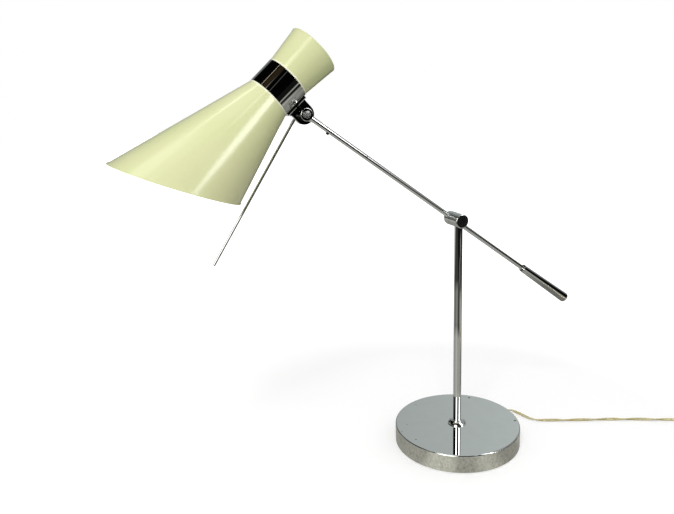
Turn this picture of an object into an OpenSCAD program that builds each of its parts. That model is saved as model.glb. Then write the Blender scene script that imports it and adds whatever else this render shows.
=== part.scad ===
// Counterbalanced desk lamp with a two-cone shade.
// The base stands on z = 0, the post rises along +Z, and the arm swings in a plane parallel to XZ.

/* [Base] */
// Diameter of the base
base_d = 160; // [140:1:190]
// Height of the top face above the table
base_top = 24; // [22:0.5:32]
// Sheet thickness of the base shell
base_wall = 1.5; // [1:0.1:2]
// Radius of the edge round the top face
base_edge = 1.6; // [1.2:0.1:2.5]
// Height of the shell's skirt above the table
base_lift = 1; // [0.6:0.1:2]
// Thickness of the felt under the ballast
felt_t = 3; // [2:0.2:4]
// Width of the cord channel in the ballast
channel_w = 7; // [6:0.5:10]

/* [Post] */
// Outer diameter of the post
post_d = 10; // [9:0.5:12]
// Bore of the post
post_bore = 6.4; // [6:0.2:7]
// Height of the arm's pivot above the table
pivot_z = 294; // [260:1:330]
// Diameter of the collar at the foot of the post
collar_d = 24; // [20:1:30]
// Height of the collar
collar_h = 5.5; // [4:0.5:9]

/* [Pivot barrel] */
// Diameter of the barrel
barrel_d = 17; // [16:0.5:20]
// Length of the half that sits on the post
barrel_front = 17; // [16:0.5:20]
// Length of the half that holds the arm
barrel_rear = 13; // [12.5:0.5:16]
// How far the front face stands before the post's axis
barrel_nose = 9; // [8.5:0.5:10]
// Thickness of the fibre washer between the halves
washer_t = 0.6; // [0.4:0.1:1]
// Diameter of the spindle that joins the halves
spindle_d = 6; // [5:0.5:6.5]

/* [Arm] */
// Outer diameter of the arm tube
arm_d = 6; // [5.5:0.5:6.5]
// Wall of the arm tube
arm_wall = 1; // [0.8:0.1:1.2]
// Slope of the arm above the horizontal
arm_slope = 36.5; // [25:0.5:50]
// Distance from the barrel's axis to the knuckle's axis
arm_reach = 226; // [200:1:260]
// Distance from the barrel's axis to the counterweight
weight_from = 133; // [110:1:160]
// Length of the counterweight
weight_len = 88; // [60:1:110]
// Diameter of the counterweight at the arm
weight_d1 = 10; // [8:0.2:11]
// Diameter of the counterweight at its free end
weight_d2 = 13; // [11:0.5:16]

/* [Knuckle] */
// Diameter of the drum on the arm's end
drum_d = 14; // [13:0.5:16]
// Length of the drum
drum_len = 8; // [7.5:0.5:10]
// Diameter of the knuckle screw
knuckle_screw_d = 5; // [4:0.5:5]
// Thickness of the bracket's ear
ear_t = 4; // [3.5:0.5:6]
// Radius of the ear's round end
ear_r = 11; // [10:0.5:13]
// Distance from the knuckle's axis to the shade's axis
shade_drop = 40; // [38:0.5:46]
// How far the middle of the waist band lies behind the knuckle, towards the mouth
waist_back = 1.5; // [0:0.1:3]

/* [Shade] */
// Slope of the shade's axis, from the mouth up to the cap
shade_slope = 41.5; // [30:0.5:60]
// Outer diameter of the waist band
band_d = 51.2; // [46:0.2:54]
// Width of the waist band
band_w = 29; // [26:1:34]
// Thickness of the waist band
band_t = 0.8; // [0.6:0.1:1]
// Sheet thickness of both cones
sheet_t = 0.8; // [0.6:0.1:1.2]
// Radius gained by the lower cone for each millimetre of its length
cone_flare = 0.28; // [0.2:0.01:0.36]
// Depth of the mouth below the band, measured on the axis
mouth_depth = 128.8; // [100:0.1:150]
// Slant of the mouth against a square cut
mouth_slant = 26.3; // [10:0.1:30]
// Length of the cap cone above the band
cap_len = 42; // [30:0.5:60]
// Diameter of the cap's open rim
cap_d = 60; // [54:1:70]
// Radius of the rolled beads beside the band
bead_r = 0.9; // [0.6:0.1:1.2]

/* [Lampholder] */
// Diameter of the lampholder's skirt
holder_d = 34; // [30:1:36]
// Length of the lampholder
holder_len = 42; // [36:1:48]
// Diameter of the bulb's globe
bulb_d = 45; // [35:1:50]

/* [Handle] */
// Diameter of the handle rod
rod_d = 3; // [2.5:0.5:3.5]
// Length of the handle rod outside the ear
rod_len = 181; // [120:1:200]
// Angle between the handle rod and the shade's axis
rod_splay = 14.5; // [8:0.1:20]

/* [Cord] */
// Diameter of the cord
cord_d = 4; // [3.6:0.1:4.4]
// Length of the inline switch
switch_len = 60; // [50:1:70]
// Width of the inline switch
switch_w = 24; // [20:1:28]
// Height of the inline switch and of the plug
switch_h = 14; // [12:0.5:16]
// Turns in the stored coil
coil_turns = 9.5; // [5.5:1:11.5]

/* [Hidden] */
$fn = 96;
eps = 0.01;
fit = 0.02;            // radial play of a seated pin or tube
run = 0.05;            // radial play of a turning pin
big = 500;

base_r = base_d / 2;
base_in = base_r - base_wall;
ballast_top = base_top - base_wall;
ballast_r = base_in - 0.5;
washer_h = 1.5;
nut_h = 5;
recess_top = ballast_top - 5;
post_foot = recess_top - washer_h - nut_h;
wire_d = 4.4;
gland_d = 8;
gland_flange_d = 9.6;
gland_len = 14;
wire_z = felt_t + gland_flange_d / 2 + 0.7;

seam_y = barrel_front - barrel_nose;
rear_y = seam_y + washer_t;
barrel_r = barrel_d / 2;
arm_r = arm_d / 2;
arm_y = rear_y + 6.4;
post_top = pivot_z - spindle_d / 2 - 1;
face_r = barrel_r - 1.3;
face_t = 1.6;
head_r = 5.7;
head_t = 1.8;
thread_len = arm_y - arm_r - rear_y - 0.4;

knuckle_x = -arm_reach * cos(arm_slope);
knuckle_z = pivot_z + arm_reach * sin(arm_slope);
drum_y0 = arm_y - drum_len / 2;
drum_y1 = arm_y + drum_len / 2;
spacer_t = 0.5;
ear_y = drum_y1 + spacer_t;
shade_y = ear_y + ear_t / 2;
screw_r = knuckle_screw_d / 2;
knuckle_head_r = 4.2;
drum_recess = 1;
arm_end_gap = knuckle_head_r + 0.3;
arm_screw_x = -arm_reach + 32;
weight_seat = 14;

band_r = band_d / 2;
band_in = band_r - band_t;
neck_r = band_in - fit;
neck_in = neck_r - sheet_t;
neck_len = 10;
half_band = band_w / 2;
bead_c = band_r - 0.75;
plate_t = 1.8;
plate_w = 18;
plate_z = shade_drop - band_r;
fix_a = half_band - neck_len / 2;
fix_d = 2.5;
strap_t = 1.2;
strap_foot = neck_in - 0.06;
stem_d = 10;
holder_a = -strap_t / 2;
holder_end = holder_a - holder_len;
bulb_a = holder_end - bulb_d / 2 - 10;

rod_root = [-ear_r, 4];
pin_place = [2.6, 8.6];

gland_turn = 13;
gland_z = wire_z;
gland_tip = base_r + gland_len;
gland_dir = [cos(gland_turn), sin(gland_turn), 0];
cord_r = cord_d / 2;
switch_x = 318;
switch_y = -142;
axis_z = switch_h / 2;
rocker_z = axis_z + 2.4;
rocker_w = 9.6;
rocker_slot = 17.8;
rocker_tilt = 8;
coil_gap = 0.5;
coil_pitch = cord_d + coil_gap;
coil_layers = 4;
coil_in = 16.6;
coil_out = coil_in + coil_pitch * coil_turns / coil_layers;
coil_steps = 24;
coil_c = [switch_x - coil_out, switch_y - switch_len - 22];
tail = 32;
plug_y = coil_c[1] + tail;
plug_x = coil_c[0] - coil_out;
plug_len = 38;
pin_gap = 19;
pin_len = 19;

// Route of the cord from the base to the switch, in millimetres
route = [
  [99.5, 22, 7.6], [103.5, 21, 6.1], [107, 19, 4.4], [110, 16.2, 3], [112, 12.5, 2.1],
  [113.3, 8, 2], [115, 2, 2], [119, -5, 2], [125, -10.8, 2], [133, -14.8, 2],
  [145, -20.5, 2], [160, -27.5, 2], [178, -35.5, 2], [200, -45, 2], [222, -55, 2],
  [244, -66, 2], [265, -77, 2], [286, -88, 2], [303, -98, 2], [314, -112, 2.4],
  [318, -126, 4.6]
];

function unit(v) = v / norm(v);

// Point on the smooth curve through p1 and p2, with p0 and p3 as neighbours
function blend4(p0, p1, p2, p3, t) =
  0.5 * (2 * p1 + (p2 - p0) * t + (2 * p0 - 5 * p1 + 4 * p2 - p3) * t * t
    + (3 * p1 - p0 - 3 * p2 + p3) * t * t * t);

function smooth(pts, steps) = [
  for (i = [1 : len(pts) - 3], k = [0 : steps - 1])
    blend4(pts[i - 1], pts[i], pts[i + 1], pts[i + 2], k / steps),
  pts[len(pts) - 2]
];

function heading(pts, i) =
  unit(pts[min(i + 1, len(pts) - 1)] - pts[max(i - 1, 0)]);

// Rings of a round tube along pts; the first and last ring are square to t0 and t1
function rings(pts, r, sides, t0, t1) = [
  for (i = [0 : len(pts) - 1])
    let (t = i == 0 ? t0 : i == len(pts) - 1 ? t1 : heading(pts, i),
         s = unit(cross(t, [0, 0, 1])), u = cross(s, t))
      for (k = [0 : sides - 1])
        pts[i] + r * (cos(360 * (k + 0.5) / sides) * s + sin(360 * (k + 0.5) / sides) * u)
];

module tube_along(pts, r, sides, t0, t1) {
  n = len(pts);
  polyhedron(
    points = rings(pts, r, sides, t0, t1),
    faces = concat(
      [for (k = [1 : sides - 2]) [0, k, k + 1]],
      [for (k = [1 : sides - 2]) let (b = (n - 1) * sides) [b, b + k + 1, b + k]],
      [for (i = [0 : n - 2], k = [0 : sides - 1])
        let (a = i * sides + k, b = i * sides + (k + 1) % sides)
          [a, a + sides, b]],
      [for (i = [0 : n - 2], k = [0 : sides - 1])
        let (a = i * sides + k, b = i * sides + (k + 1) % sides)
          [b, a + sides, b + sides]]
    ),
    convexity = 10
  );
}

// Round bar along Y, from y0 to y1
module bar_y(r, y0, y1) {
  translate([0, y0, 0]) rotate([-90, 0, 0]) cylinder(r = r, h = y1 - y0);
}

module at_pivot() {
  translate([0, 0, pivot_z]) children();
}

// Frame of the arm: -X runs up to the knuckle and +X down to the counterweight
module on_arm() {
  translate([0, arm_y, pivot_z]) rotate([0, arm_slope, 0]) children();
}

module at_knuckle() {
  translate([knuckle_x, 0, knuckle_z]) children();
}

// Frame of the shade: origin on the knuckle, +X to the cap and +Z to the shade's axis
module on_shade() {
  at_knuckle() rotate([0, -shade_slope, 0]) children();
}

// Frame of the turned shade parts: +Z runs along the shade's axis to the cap
module on_axis() {
  on_shade() translate([-waist_back, shade_y, shade_drop]) rotate([0, 90, 0]) children();
}

module base_shell() {
  color([0.78, 0.79, 0.78]) difference() {
    rotate_extrude($fn = 180) difference() {
      union() {
        translate([0, base_lift]) square([base_r, base_top - base_edge - base_lift]);
        translate([0, base_lift]) square([base_r - base_edge, base_top - base_lift]);
        translate([base_r - base_edge, base_top - base_edge]) circle(r = base_edge);
      }
      translate([-1, base_lift - 1]) square([base_in + 1, ballast_top - base_lift + 1]);
      translate([-1, 0]) square([post_d / 2 + fit + 1, base_top + 1]);
    }
    rotate([0, 0, gland_turn]) translate([base_r - 5, 0, gland_z]) rotate([0, 90, 0])
      cylinder(d = gland_d + 2 * fit, h = 10);
  }
}

module base_ballast() {
  color([0.2, 0.2, 0.21]) difference() {
    translate([0, 0, felt_t]) cylinder(r = ballast_r, h = ballast_top - felt_t, $fn = 180);
    translate([0, 0, -1]) cylinder(d = post_d + 2 * fit, h = base_top + 2);
    translate([0, 0, -1]) cylinder(d = 44, h = recess_top + 1);
    rotate([0, 0, gland_turn]) translate([0, -channel_w / 2, -1])
      cube([base_r, channel_w, wire_z + wire_d / 2 + 2]);
    rotate([0, 0, gland_turn]) translate([base_in - 3.2, -gland_flange_d / 2 - 0.3, -1])
      cube([10, gland_flange_d + 0.6, wire_z + gland_flange_d / 2 + 1.3]);
  }
}

module base_felt() {
  color([0.16, 0.27, 0.2]) cylinder(r = ballast_r, h = felt_t, $fn = 180);
}

module post_nut() {
  color([0.72, 0.66, 0.45]) {
    translate([0, 0, recess_top - washer_h]) difference() {
      cylinder(d = 24, h = washer_h);
      translate([0, 0, -1]) cylinder(d = post_d + 2 * fit, h = washer_h + 2);
    }
    translate([0, 0, recess_top - washer_h - nut_h]) difference() {
      cylinder(d = 17 / cos(30), h = nut_h, $fn = 6);
      translate([0, 0, -1]) cylinder(d = post_d + 2 * fit, h = nut_h + 2);
    }
  }
}

module post() {
  color([0.8, 0.81, 0.8]) translate([0, 0, post_foot]) difference() {
    cylinder(d = post_d, h = post_top - post_foot);
    translate([0, 0, -1]) cylinder(d = post_bore, h = post_top - post_foot + 2);
  }
}

// Low bell-shaped collar with a small step at its foot
module post_collar() {
  r = collar_d / 2;
  hole = post_d / 2 + fit;
  color([0.8, 0.81, 0.8]) translate([0, 0, base_top]) rotate_extrude() difference() {
    union() {
      square([r, 0.8]);
      intersection() {
        square([r - 0.6, collar_h]);
        translate([0, -r * 0.55]) scale([1, 1]) circle(r = norm([r - 0.6, r * 0.55 + 0.8]));
      }
    }
    translate([-1, -1]) square([hole + 1, collar_h + 2]);
    translate([hole + 0.8, collar_h - 1]) difference() {
      square([r, 2]);
      translate([0, 0]) circle(r = 1);
    }
  }
}

// Front half of the barrel, screwed on the post
module pivot_front() {
  color([0.8, 0.81, 0.8]) difference() {
    at_pivot() translate([0, seam_y, 0]) rotate([90, 0, 0]) rotate_extrude() difference() {
      union() {
        square([barrel_r, barrel_front - 1]);
        square([barrel_r - 1, barrel_front]);
        translate([barrel_r - 1, barrel_front - 1]) circle(r = 1);
      }
      translate([-1, -1]) square([spindle_d / 2 + run + 1, barrel_front + 2]);
      translate([-1, barrel_front - face_t - 0.2]) square([face_r + fit + 1, 3]);
      translate([-1, barrel_front - face_t - 0.4 - head_t]) square([head_r + run + 1, 5]);
    }
    cylinder(d = post_d + 2 * fit, h = post_top);
  }
}

// Disc that closes the front half over the spindle's head
module pivot_disc() {
  y0 = -barrel_nose + 0.2;
  color([0.12, 0.12, 0.13]) at_pivot() bar_y(face_r, y0, y0 + face_t);
}

module pivot_washer() {
  color([0.45, 0.2, 0.12]) at_pivot() difference() {
    bar_y(barrel_r - 0.6, seam_y, rear_y);
    bar_y(spindle_d / 2 + run, seam_y - 1, rear_y + 1);
  }
}

module pivot_spindle() {
  y0 = -barrel_nose + face_t + 0.4;
  color([0.6, 0.61, 0.62]) at_pivot() union() {
    difference() {
      bar_y(head_r, y0, y0 + head_t);
      translate([-big / 2, y0 - 1, -0.5]) cube([big, 1.8, 1]);
    }
    bar_y(spindle_d / 2, y0 + head_t - eps, rear_y + thread_len);
  }
}

// Rear half of the barrel: the arm passes through it
module pivot_rear() {
  edge = 2.4;
  color([0.8, 0.81, 0.8]) difference() {
    at_pivot() translate([0, rear_y, 0]) rotate([-90, 0, 0]) rotate_extrude() difference() {
      union() {
        square([barrel_r, barrel_rear - edge]);
        square([barrel_r - edge, barrel_rear]);
        translate([barrel_r - edge, barrel_rear - edge]) circle(r = edge);
      }
      translate([-1, -1]) square([spindle_d / 2 + fit + 1, thread_len + 1]);
    }
    on_arm() rotate([0, 90, 0]) translate([0, 0, -20]) cylinder(r = arm_r + fit, h = 40);
  }
}

module arm_tube() {
  x0 = -arm_reach + arm_end_gap;
  x1 = weight_from + weight_seat;
  color([0.8, 0.81, 0.8]) on_arm() difference() {
    translate([x0, 0, 0]) rotate([0, 90, 0]) difference() {
      cylinder(r = arm_r, h = x1 - x0);
      translate([0, 0, -1]) cylinder(r = arm_r - arm_wall, h = x1 - x0 + 2);
    }
    arm_screw_shape(fit, 1);
  }
}

// Small screw under the arm, seated in a spot face; its hole is wider by grow and longer by past
module arm_screw_shape(grow, past) {
  translate([arm_screw_x, 0, -arm_r]) {
    translate([0, 0, -1.5 - past]) cylinder(r = 1.8 + grow, h = 1.8 + past);
    cylinder(r = 1 + grow, h = arm_wall + 0.2 + past);
  }
}

// Turned counterweight: a long taper with a recessed socket for the arm
module counterweight() {
  r1 = weight_d1 / 2;
  r2 = weight_d2 / 2;
  edge = 1.5;
  socket_r = arm_r + 1.1;
  socket_depth = 1.2;
  color([0.74, 0.75, 0.75]) on_arm() translate([weight_from, 0, 0]) rotate([0, 90, 0])
    rotate_extrude() difference() {
      union() {
        polygon([[0, 0], [r1 - 0.4, 0], [r1, 0.5], [r2, weight_len - edge], [0, weight_len - edge]]);
        square([r2 - edge, weight_len]);
        translate([r2 - edge, weight_len - edge]) circle(r = edge);
      }
      translate([-1, -1]) square([arm_r + fit + 1, weight_seat + 1]);
      translate([-1, -1]) square([socket_r + 1, socket_depth + 1]);
    }
}

// Small screw under the arm near the knuckle
module arm_screw() {
  color([0.15, 0.15, 0.16]) on_arm() arm_screw_shape(0, 0);
}

// Cable inside the arm tube
module arm_wire() {
  x0 = -arm_reach + arm_end_gap + 3;
  color([0.85, 0.8, 0.6]) on_arm() translate([x0, 0, 0]) rotate([0, 90, 0])
    cylinder(r = arm_r - arm_wall - 0.4, h = -x0);
}

// Drum on the end of the arm: the knuckle screw is sunk into its front face
module knuckle_drum() {
  r = drum_d / 2;
  edge = 0.8;
  color([0.8, 0.81, 0.8]) difference() {
    at_knuckle() translate([0, drum_y1, 0]) rotate([90, 0, 0]) rotate_extrude() difference() {
      union() {
        square([r, drum_len - edge]);
        square([r - edge, drum_len]);
        translate([r - edge, drum_len - edge]) circle(r = edge);
      }
      translate([-1, -1]) square([screw_r + run + 1, drum_len + 2]);
      translate([-1, drum_len - drum_recess]) square([r - 1.6 + 1, 3]);
    }
    on_arm() rotate([0, 90, 0]) translate([0, 0, -arm_reach + arm_end_gap])
      cylinder(r = arm_r + fit, h = 20);
  }
}

// Slotted screw through drum, spacer and ear
module knuckle_screw() {
  head = knuckle_head_r;
  dome_r = 16;
  dome_h = 2;
  slot_depth = 0.8;
  y0 = drum_y0 + drum_recess;
  color([0.72, 0.73, 0.73]) at_knuckle() {
    difference() {
      translate([0, y0, 0]) rotate([90, 0, 0]) rotate_extrude() difference() {
        intersection() {
          translate([0, dome_h - dome_r]) circle(r = dome_r);
          square([head, dome_h]);
        }
        translate([-1, -1]) square([1, 5]);
      }
      rotate([0, -35, 0]) translate([-head - 1, y0 - dome_h - 1, -0.5])
        cube([2 * head + 2, slot_depth + 1, 1]);
    }
    bar_y(screw_r, y0 - eps, ear_y + ear_t + 5.5);
  }
}

module knuckle_spacer() {
  color([0.5, 0.24, 0.14]) at_knuckle() difference() {
    bar_y(drum_d / 2 - 0.8, drum_y1, ear_y);
    bar_y(screw_r + fit, drum_y1 - 1, ear_y + 1);
  }
}

module knuckle_nut() {
  y0 = ear_y + ear_t;
  color([0.75, 0.76, 0.76]) at_knuckle() difference() {
    translate([0, y0, 0]) rotate([-90, 0, 0]) cylinder(d = 8 / cos(30), h = 4, $fn = 6);
    bar_y(screw_r + fit, y0 - 1, y0 + 6);
  }
}

// Bracket: a round-ended ear below a saddle plate that hugs the band
module shade_bracket() {
  bevel = 1.1;
  color([0.76, 0.77, 0.77]) on_shade() difference() {
    union() {
      bar_y(ear_r, ear_y, ear_y + ear_t);
      translate([-ear_r, ear_y, 0]) cube([2 * ear_r, ear_t, plate_z]);
      difference() {
        translate([1 - half_band - waist_back, shade_y - plate_w / 2, plate_z - plate_t])
          cube([band_w - 2, plate_w, plate_t + 2.5]);
        translate([-band_w, shade_y, shade_drop]) rotate([0, 90, 0])
          cylinder(r = band_r + fit, h = 2 * band_w);
      }
      translate([pin_place[0], 0, pin_place[1]]) bar_y(1.2, ear_y - 2.2, ear_y + 1);
    }
    for (s = [-1, 1]) translate([0, shade_y + s * plate_w / 2, plate_z - plate_t])
      rotate([45, 0, 0]) cube([big, bevel * sqrt(2), bevel * sqrt(2)], center = true);
    bar_y(screw_r + fit, ear_y - 1, ear_y + ear_t + 1);
    translate([rod_root[0], shade_y, rod_root[1]]) rotate([0, -90 - rod_splay, 0])
      translate([0, 0, -6]) cylinder(r = 1 + fit, h = 20);
    for (s = [-1, 1]) translate([s * fix_a - waist_back, shade_y, plate_z - 7])
      cylinder(d = fix_d + 2 * fit, h = 20);
    translate([-big / 2, shade_y, shade_drop]) rotate([0, 90, 0]) cylinder(r = band_r, h = big);
  }
}

// Handle rod with a thin spigot that screws into the ear
module handle_rod() {
  flat = 0.9;
  color([0.72, 0.73, 0.73]) on_shade()
    translate([rod_root[0], shade_y, rod_root[1]]) rotate([0, -90 - rod_splay, 0]) {
      translate([0, 0, flat]) cylinder(d = rod_d, h = rod_len - flat - 0.6);
      translate([0, 0, rod_len - 0.6]) cylinder(d1 = rod_d, d2 = rod_d - 1.2, h = 0.6);
      translate([0, 0, -5.5]) cylinder(r = 1, h = 6.6);
    }
}

module waist_band() {
  color([0.3, 0.3, 0.31]) on_axis() difference() {
    translate([0, 0, -half_band]) cylinder(r = band_r, h = band_w);
    translate([0, 0, -half_band - 1]) cylinder(r = band_in, h = band_w + 2);
    band_holes();
  }
}

// Holes for the two screws that hold bracket, band and both cones together
module band_holes() {
  for (s = [-1, 1]) translate([0, 0, s * fix_a]) rotate([0, 90, 0])
    cylinder(d = fix_d + 2 * fit, h = band_r + 5);
}

// Half-space on the cap's side of the slanted mouth, moved by d along its normal
module above_mouth(d) {
  translate([0, 0, -half_band - mouth_depth]) rotate([0, -mouth_slant, 0])
    translate([-big, -big, d]) cube(2 * big);
}

// Outer line of the lower cone at depth s below the band
function cone_r(s) = band_r - 0.5 + cone_flare * s;

module cone_profile(grow) {
  long = mouth_depth * 1.5;
  wall = sheet_t * norm([1, cone_flare]);
  polygon([
    [neck_in, -half_band], [cone_r(0) + grow, -half_band],
    [cone_r(long) + grow, -half_band - long], [cone_r(long) - wall, -half_band - long],
    [cone_r(sheet_t) - wall, -half_band - sheet_t], [neck_in, -half_band - sheet_t]
  ]);
}

module lower_shade() {
  color([0.89, 0.89, 0.72]) on_axis() difference() {
    union() {
      intersection() {
        rotate_extrude($fn = 144) {
          cone_profile(0);
          translate([bead_c, -half_band - bead_r]) circle(r = bead_r, $fn = 24);
        }
        above_mouth(0);
      }
      difference() {
        intersection() {
          rotate_extrude($fn = 144) cone_profile(0.6);
          above_mouth(0);
        }
        above_mouth(1.6);
      }
      translate([0, 0, -half_band - 0.5]) difference() {
        cylinder(r = neck_r, h = neck_len + 0.5);
        translate([0, 0, -1]) cylinder(r = neck_in, h = neck_len + 3);
      }
    }
    band_holes();
  }
}

module cap_shade() {
  top = half_band + cap_len;
  r0 = band_r - 0.6;
  rim = cap_d / 2;
  color([0.89, 0.89, 0.72]) on_axis() difference() {
    union() {
      rotate_extrude($fn = 144) {
        polygon([
          [neck_in, half_band], [r0, half_band], [rim - 0.2, top - 0.9],
          [rim - 0.2 - sheet_t, top - 0.9], [r0 - sheet_t, half_band + sheet_t],
          [neck_in, half_band + sheet_t]
        ]);
        translate([bead_c, half_band + bead_r]) circle(r = bead_r, $fn = 24);
        translate([rim - 0.9, top - 0.9]) circle(r = 0.9, $fn = 24);
      }
      translate([0, 0, half_band - neck_len]) difference() {
        cylinder(r = neck_r, h = neck_len + 0.5);
        translate([0, 0, -1]) cylinder(r = neck_in, h = neck_len + 3);
      }
    }
    band_holes();
  }
}

module bracket_screws() {
  head = 2.3;
  bend = strap_foot - strap_t;
  seat = sqrt(bend * bend - head * head) - fit;
  color([0.7, 0.7, 0.7]) on_axis() for (s = [-1, 1]) translate([0, 0, s * fix_a])
    rotate([0, 90, 0]) {
      translate([0, 0, seat - 1.6]) cylinder(r = head, h = 1.6);
      translate([0, 0, seat - 0.5]) cylinder(d = fix_d, h = band_r + 5.5 - seat);
    }
}

// Strap inside the waist: a curved foot under the screws and a leg across the axis
module holder_strap() {
  foot = strap_foot;
  color([0.7, 0.66, 0.5]) on_axis() difference() {
    union() {
      intersection() {
        translate([0, 0, 2 - half_band]) difference() {
          cylinder(r = foot, h = band_w - 4);
          translate([0, 0, -1]) cylinder(r = foot - strap_t, h = band_w);
        }
        translate([0, -6, -half_band]) cube([band_r, 12, band_w]);
      }
      intersection() {
        translate([-9, -9, -strap_t / 2]) cube([band_r + 9, 18, strap_t]);
        translate([0, 0, -2]) cylinder(r = foot, h = 4);
      }
    }
    translate([0, 0, -5]) cylinder(d = stem_d + 2 * fit, h = 10);
    band_holes();
  }
}

// Lampholder: domed back, ribbed skirt, open mouth and a threaded stem
module lamp_holder() {
  r = holder_d / 2;
  color([0.1, 0.09, 0.08]) on_axis() difference() {
    union() {
      translate([0, 0, holder_end]) cylinder(r = r, h = holder_len * 0.55);
      translate([0, 0, holder_end + holder_len * 0.55])
        cylinder(r1 = r, r2 = r - 3.5, h = holder_len * 0.2);
      translate([0, 0, holder_end + holder_len * 0.75]) cylinder(r = r - 3.5, h = holder_len * 0.25);
      for (k = [0 : 2]) translate([0, 0, holder_end + 3 + 5 * k]) cylinder(r = r + 0.8, h = 1.6);
      translate([0, 0, holder_a - 1]) cylinder(d = stem_d, h = 9);
    }
    translate([0, 0, holder_end - 1]) cylinder(d = 27.2, h = 27);
    translate([0, 0, holder_end - 1]) cylinder(d = 6, h = holder_len + 20);
  }
}

module holder_nut() {
  color([0.72, 0.66, 0.45]) on_axis() translate([0, 0, strap_t / 2]) difference() {
    cylinder(d = 14 / cos(30), h = 3.5, $fn = 6);
    translate([0, 0, -1]) cylinder(d = stem_d + 2 * fit, h = 6);
  }
}

// Short cable that leaves the holder's stem and bends over to the strap's foot
module holder_wire() {
  r = 1.6;
  last = strap_foot - strap_t - r - 0.3;
  path = [
    [0, -12, 0], [0, -8, 0], [0, 0, 0], [0, 8, 0], [1.5, 12.5, 0], [6, 15, 0], [11, 14, 0],
    [15.5, 10, 0], [18.5, 5.5, 0], [last, 1.5, 0], [last + 1, -2.5, 0]
  ];
  color([0.85, 0.8, 0.6]) on_axis() rotate([90, 0, 0])
    tube_along(smooth(path, 2), r, 10, [0, 1, 0], unit([0.4, -1, 0]));
}

module bulb_cap() {
  color([0.75, 0.72, 0.6]) on_axis() translate([0, 0, holder_end - 1]) rotate_extrude()
    polygon([[12.4, 0], [13, 0], [13, 21], [6, 24.5], [0, 24.5], [0, 23.5], [5.8, 23.5], [12.4, 20.5]]);
}

module bulb_globe() {
  r = bulb_d / 2;
  neck = bulb_a + r * 0.62;
  wall = 0.8;
  color([0.96, 0.95, 0.9]) on_axis() difference() {
    union() {
      translate([0, 0, bulb_a]) sphere(r = r);
      translate([0, 0, neck]) cylinder(r1 = r * 0.785, r2 = 13, h = holder_end - 1 - neck);
    }
    translate([0, 0, bulb_a]) sphere(r = r - wall);
    translate([0, 0, neck]) cylinder(r1 = r * 0.785 - wall, r2 = 12, h = holder_end - 0.9 - neck);
  }
}

// Cord entry in the side of the base: a tapered rubber sleeve
module cord_gland() {
  color([0.86, 0.83, 0.7]) rotate([0, 0, gland_turn]) translate([0, 0, gland_z])
    rotate([0, 90, 0]) {
      translate([0, 0, base_in - 2.5]) cylinder(d = gland_flange_d, h = 2.3);
      translate([0, 0, base_in - 0.5]) cylinder(d = gland_d, h = base_wall + 1);
      translate([0, 0, base_r + 0.1])
        cylinder(d1 = gland_d + 1, d2 = cord_d + 1.6, h = gland_len - 0.1);
    }
}

// Cable from the gland through the ballast and up inside the post
module lead_wire() {
  r = wire_d / 2;
  color([0.85, 0.8, 0.6]) {
    rotate([0, 0, gland_turn]) translate([0, 0, wire_z]) rotate([0, 90, 0])
      cylinder(r = r, h = base_in - 2.5, $fn = 24);
    translate([0, 0, wire_z]) sphere(r = r, $fn = 24);
    translate([0, 0, wire_z]) cylinder(r = r, h = post_top - wire_z - 1, $fn = 24);
  }
}

lead_start = [gland_dir[0] * gland_tip, gland_dir[1] * gland_tip, gland_z];
lead_end = [switch_x, switch_y, axis_z];
lead_points = concat(
  [lead_start - 8 * gland_dir, lead_start, lead_start + cord_d * gland_dir], route,
  [lead_end + [0, cord_d, 0], lead_end, lead_end - [0, 8, 0]]
);

module cord_lead() {
  color([0.8, 0.72, 0.45])
    tube_along(smooth(lead_points, 2), cord_r, 8, gland_dir, [0, -1, 0]);
}

// Height of the coil after a given number of turns; each climb takes half a turn
function coil_z(turn) =
  let (layer = coil_turns / coil_layers, n = round(turn / layer),
       off = turn - n * layer,
       rise = n == 0 ? 0.5 : n == coil_layers ? -0.5 : max(-0.25, min(0.25, off)) * 2)
    cord_r + coil_pitch * (n - 0.5 + rise);

function coil_radius(turn) =
  let (layer = coil_turns / coil_layers, n = floor(turn / layer + 1e-6), f = turn / layer - n)
    coil_in + (coil_out - coil_in) * (n % 2 == 0 ? 1 - f : f);

function ease(t) = t * t * (3 - 2 * t);

coil_rings = round(coil_turns * coil_steps);
coil_in_points = [
  for (k = [0 : 5]) let (y = switch_y - switch_len, t = k / 6, a = cord_d + 18 * t)
    [switch_x, y - a, axis_z + (cord_r - axis_z) * ease(t)]
];
coil_turn_points = [
  for (i = [0 : coil_rings]) let (t = i / coil_steps, r = coil_radius(t))
    [coil_c[0] + r * cos(360 * t), coil_c[1] - r * sin(360 * t), coil_z(t)]
];
coil_top = coil_z(coil_turns);
coil_out_points = [
  for (k = [1 : 6]) let (t = k / 6)
    [plug_x, coil_c[1] + (tail - cord_d) * t, coil_top + (axis_z - coil_top) * ease(t)]
];
coil_points = concat(
  [[switch_x, switch_y - switch_len, axis_z]], coil_in_points, coil_turn_points,
  coil_out_points, [[plug_x, plug_y, axis_z]]
);

// Least distance between the tube's surface and itself, past its own next turn of the path
function self_gap(pts, skip) = min([
  for (i = [0 : 3 : len(pts) - 1], j = [i + skip : len(pts) - 1]) norm(pts[i] - pts[j])
]) - cord_d;

module cord_coil() {
  echo(str("least gap of the coil to itself, mm: ", self_gap(coil_points, 12)));
  color([0.8, 0.72, 0.45]) tube_along(coil_points, cord_r, 6, [0, -1, 0], [0, 1, 0]);
}

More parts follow.
